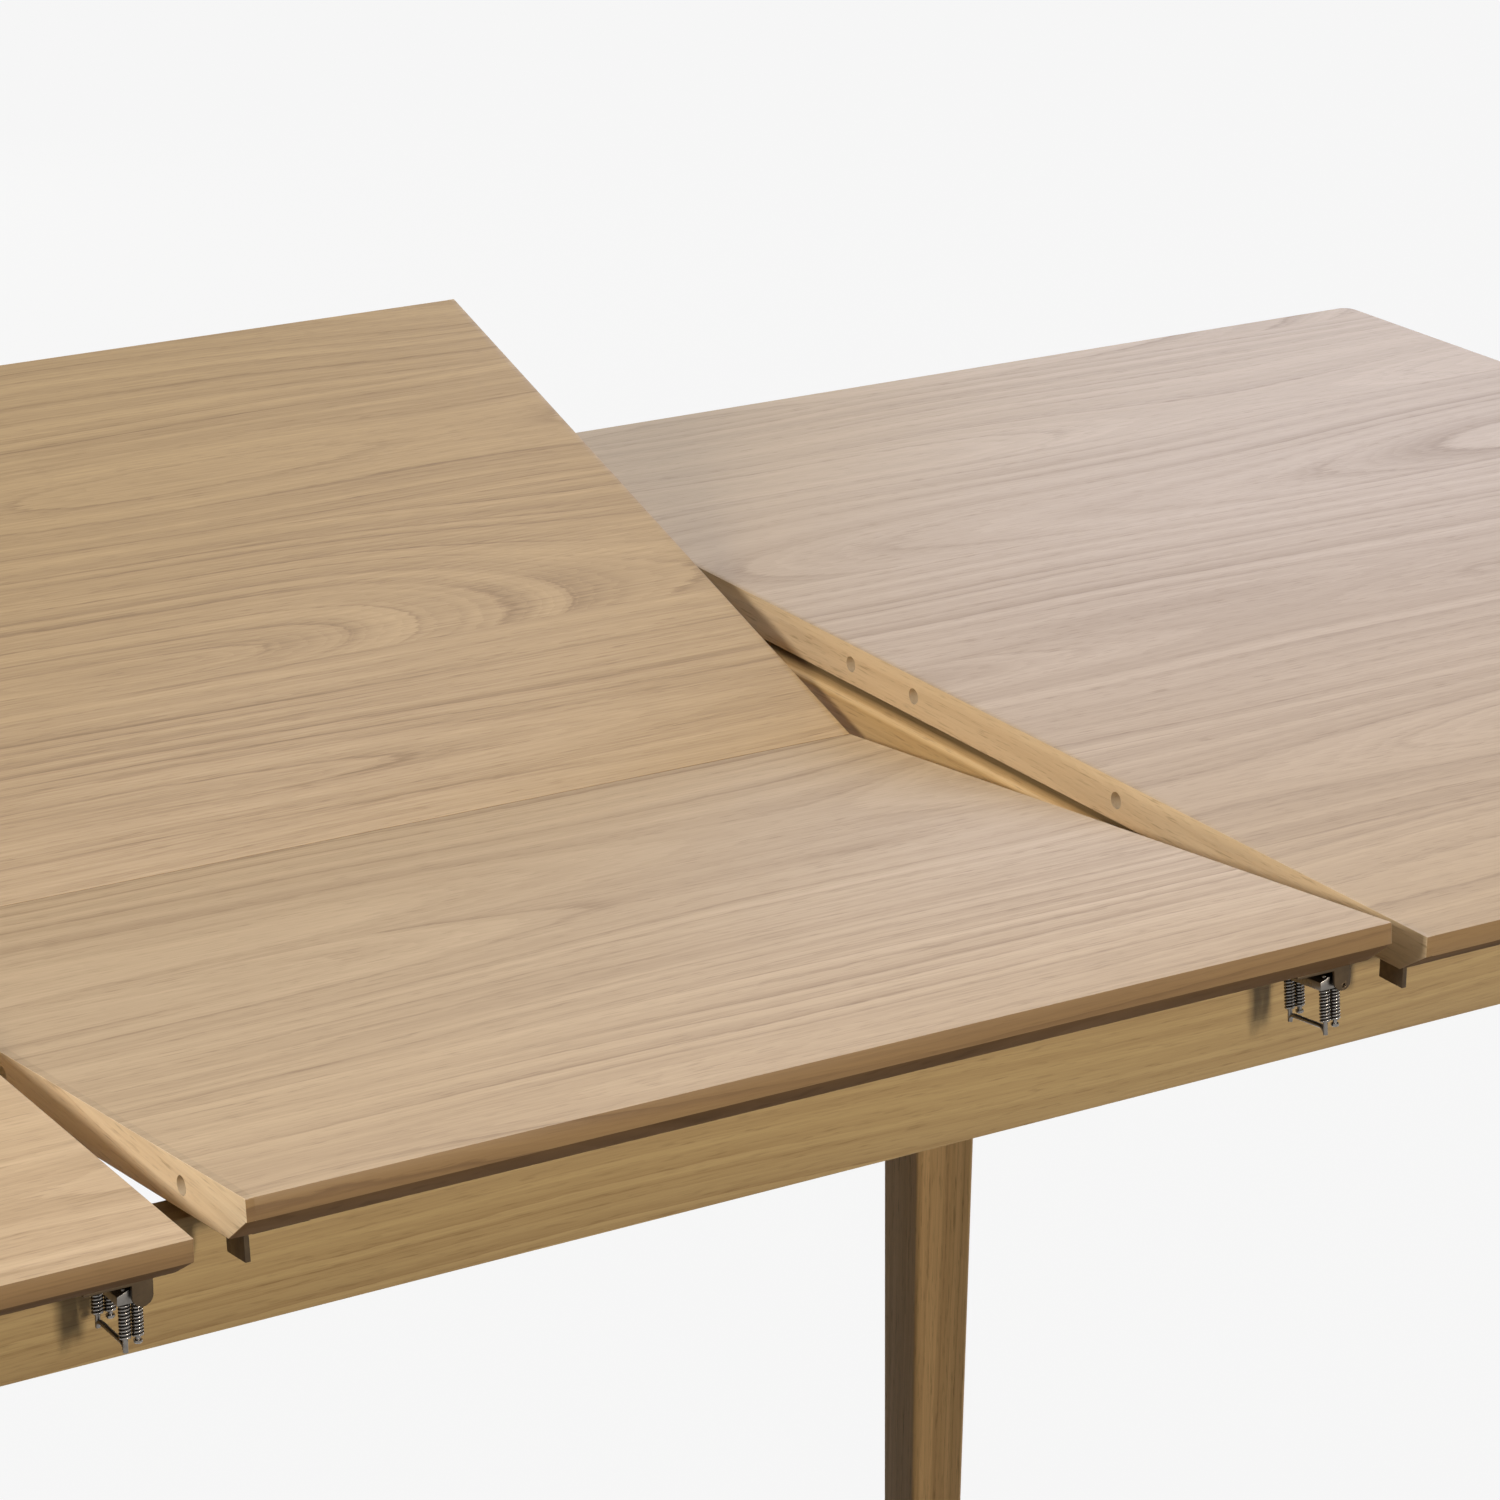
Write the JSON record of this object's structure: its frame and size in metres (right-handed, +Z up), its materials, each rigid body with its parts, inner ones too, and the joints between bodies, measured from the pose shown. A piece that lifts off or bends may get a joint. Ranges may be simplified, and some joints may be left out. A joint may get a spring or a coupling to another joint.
{
  "type": "butterfly leaf table",
  "caption": "Extending oak dining table whose two tops slide apart over a fixed frame for a folding butterfly leaf, shown with the leaf half unfolded",
  "frame": {"origin": "on the floor, under the middle of the table", "axes": "+X along the table, +Y towards the rear long side, +Z up"},
  "size_m": [1.934, 0.9023, 0.8512],
  "materials": {
    "oak_veneer": "satin",
    "oak_lipping": "satin",
    "oak_apron": "satin",
    "oak_leg": "satin",
    "oak_rail": "satin",
    "beech": "matte",
    "zinc_steel": "satin",
    "claw_steel": "satin",
    "spring_steel": "polished",
    "brass": "satin",
    "felt": "matte",
    "glide_plastic": "matte"
  },
  "bodies": {
    "frame": {"front_apron": "oak_apron", "rear_apron": "oak_apron", "left_end_apron": "oak_apron", "right_end_apron": "oak_apron", "left_cross_rail": "oak_rail", "right_cross_rail": "oak_rail", "front_left_leg": "oak_leg", "front_right_leg": "oak_leg", "rear_left_leg": "oak_leg", "rear_right_leg": "oak_leg", "corner_blocks": "beech", "leg_bolts": "zinc_steel", "leg_nuts": "zinc_steel", "leg_glides": "glide_plastic", "felt_pads": "felt", "left_guides": "beech", "right_guides": "beech", "pivot_brackets": "zinc_steel"},
    "right_top": {"right_top": "oak_veneer", "right_top_lipping": "oak_lipping", "right_runners": "beech", "right_runner_stops": "beech", "right_top_catches": "zinc_steel"},
    "left_top": {"left_top": "oak_veneer", "left_top_lipping": "oak_lipping", "left_top_pegs": "brass", "left_runners": "beech", "left_runner_stops": "beech", "front_top_latch_base": "zinc_steel", "rear_top_latch_base": "zinc_steel"},
    "rear_leaf": {"rear_leaf": "oak_veneer", "rear_leaf_lippings": "oak_lipping", "rear_leaf_pegs": "brass", "rear_hinge_barrels": "brass", "leaf_pivot_plates": "zinc_steel", "rear_leaf_latch_base": "zinc_steel", "rear_leaf_catch": "zinc_steel"},
    "hinge_links": {"hinge_links": "zinc_steel"},
    "front_leaf": {"front_leaf": "oak_veneer", "front_leaf_lippings": "oak_lipping", "front_leaf_pegs": "brass", "front_hinge_barrels": "brass", "front_leaf_latch_base": "zinc_steel", "front_leaf_catch": "zinc_steel"},
    "front_leaf_claw": {"front_leaf_claw": "claw_steel", "front_leaf_claw_springs": "spring_steel"},
    "rear_leaf_claw": {"rear_leaf_claw": "claw_steel", "rear_leaf_claw_springs": "spring_steel"},
    "front_top_claw": {"front_top_claw": "claw_steel", "front_top_claw_springs": "spring_steel"},
    "rear_top_claw": {"rear_top_claw": "claw_steel", "rear_top_claw_springs": "spring_steel"}
  },
  "joints": [
    {"name": "right_top_slide", "type": "slide", "parent": "frame", "child": "right_top", "axis": [1, 0, 0], "range_m": [-0.0165, 0]},
    {"name": "left_top_slide", "type": "slide", "parent": "frame", "child": "left_top", "axis": [-1, 0, 0], "range_m": [-0.0165, 0]},
    {"name": "leaf_tilt", "type": "hinge", "parent": "frame", "child": "rear_leaf", "pos_m": [0, 0.1125, 0.72], "axis": [1, 0, 0], "range_deg": [-17.7, 0]},
    {"name": "leaf_lay", "type": "hinge", "parent": "rear_leaf", "child": "hinge_links", "pos_m": [0, -0.0038, 0.71438], "axis": [1, 0, 0], "range_deg": [0, 23.8]},
    {"name": "leaf_fold", "type": "hinge", "parent": "hinge_links", "child": "front_leaf", "pos_m": [0, -0.0038, 0.71438], "axis": [1, 0, 0], "range_deg": [-155, 0]},
    {"name": "front_leaf_claw_hinge", "type": "hinge", "parent": "front_leaf", "child": "front_leaf_claw", "pos_m": [0.271, -0.41654, 0.72932], "axis": [0, -0.9943, 0.1063], "range_deg": [0, 88]},
    {"name": "rear_leaf_claw_hinge", "type": "hinge", "parent": "rear_leaf", "child": "rear_leaf_claw", "pos_m": [0.271, 0.39752, 0.81201], "axis": [0, -0.9527, -0.304], "range_deg": [0, 88]},
    {"name": "front_top_claw_hinge", "type": "hinge", "parent": "left_top", "child": "front_top_claw", "pos_m": [-0.321, -0.412, 0.721], "axis": [0, -1, 0], "range_deg": [0, 88]},
    {"name": "rear_top_claw_hinge", "type": "hinge", "parent": "left_top", "child": "rear_top_claw", "pos_m": [-0.321, 0.412, 0.721], "axis": [0, -1, 0], "range_deg": [0, 88]}
  ],
  "couplings": [
    {"joint": "leaf_lay", "follows": "leaf_tilt", "ratio": -1.3446}
  ]
}
